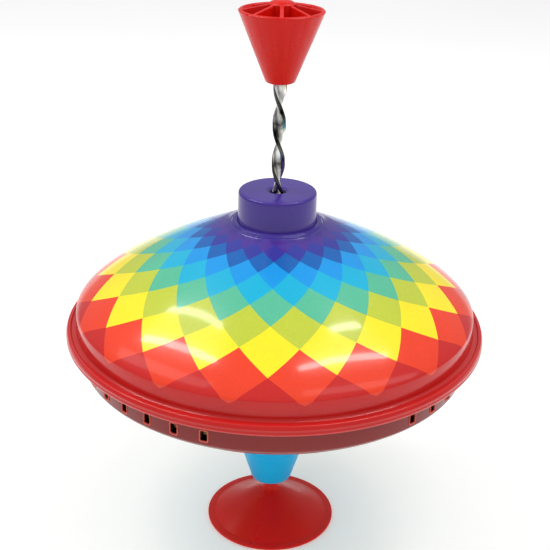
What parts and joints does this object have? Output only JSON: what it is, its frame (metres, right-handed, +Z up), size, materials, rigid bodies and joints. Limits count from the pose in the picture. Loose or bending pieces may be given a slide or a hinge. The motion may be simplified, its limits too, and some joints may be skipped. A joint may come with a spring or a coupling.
{
  "type": "spinning top",
  "caption": "Tinplate humming top with a printed dome, slotted wall, twisted pump rod under a ribbed push handle, and a round foot that it spins on.",
  "frame": {"origin": "centre of the foot's rim on the surface that the top stands on", "axes": "+Z up along the spin axis, from the foot to the handle; -Y is the side first looked at"},
  "size_m": [0.19, 0.19, 0.2535],
  "materials": {
    "handle_red": "moulded, glossy",
    "foot_red": "moulded, glossy, slightly soft",
    "cap_purple": "moulded, glossy",
    "hub_blue": "moulded, glossy",
    "inner_white": "moulded",
    "upper_print": "printed and varnished tinplate",
    "lower_print": "printed and varnished tinplate",
    "rod_steel": "bright drawn steel",
    "inner_steel": "plain steel",
    "reed_brass": "plain brass"
  },
  "bodies": {
    "foot": {"suction_foot": "foot_red", "pivot_pin": "rod_steel", "pin_clip": "inner_steel"},
    "top": {"lower_hub": "hub_blue", "hub_lock_ring": "inner_steel", "pivot_bush": "reed_brass", "thrust_cup": "inner_steel", "lower_shell": "lower_print", "upper_shell": "upper_print", "reed_plate_1": "inner_steel", "reed_plate_2": "inner_steel", "reed_plate_3": "inner_steel", "reed_comb_1": "reed_brass", "reed_comb_2": "reed_brass", "reed_comb_3": "reed_brass", "reed_rivet_1": "reed_brass", "reed_rivet_2": "reed_brass", "reed_rivet_3": "reed_brass", "reed_rivet_4": "reed_brass", "reed_rivet_5": "reed_brass", "reed_rivet_6": "reed_brass", "guide_tube": "inner_steel", "tower_cap": "cap_purple", "clutch_seat": "inner_steel", "tower_lock_ring": "inner_steel"},
    "plunger": {"handle": "handle_red", "spindle_rod": "rod_steel", "spindle_slider": "inner_white", "slider_pin": "inner_steel"},
    "driver": {"drive_nut": "inner_white"}
  },
  "joints": [
    {"name": "spin", "type": "hinge", "parent": "foot", "child": "top", "pos_m": [0, 0, 0.0225], "axis": [0, 0, 1], "continuous": true},
    {"name": "pump", "type": "slide", "parent": "top", "child": "plunger", "axis": [0, 0, 1], "range_m": [-0.046, 0]},
    {"name": "nut_turn", "type": "hinge", "parent": "top", "child": "driver", "pos_m": [0, 0, 0.16], "axis": [0, 0, 1], "range_deg": [-485, 5]}
  ],
  "couplings": [
    {"joint": "nut_turn", "follows": "pump", "rad_per_m": 182.65}
  ]
}
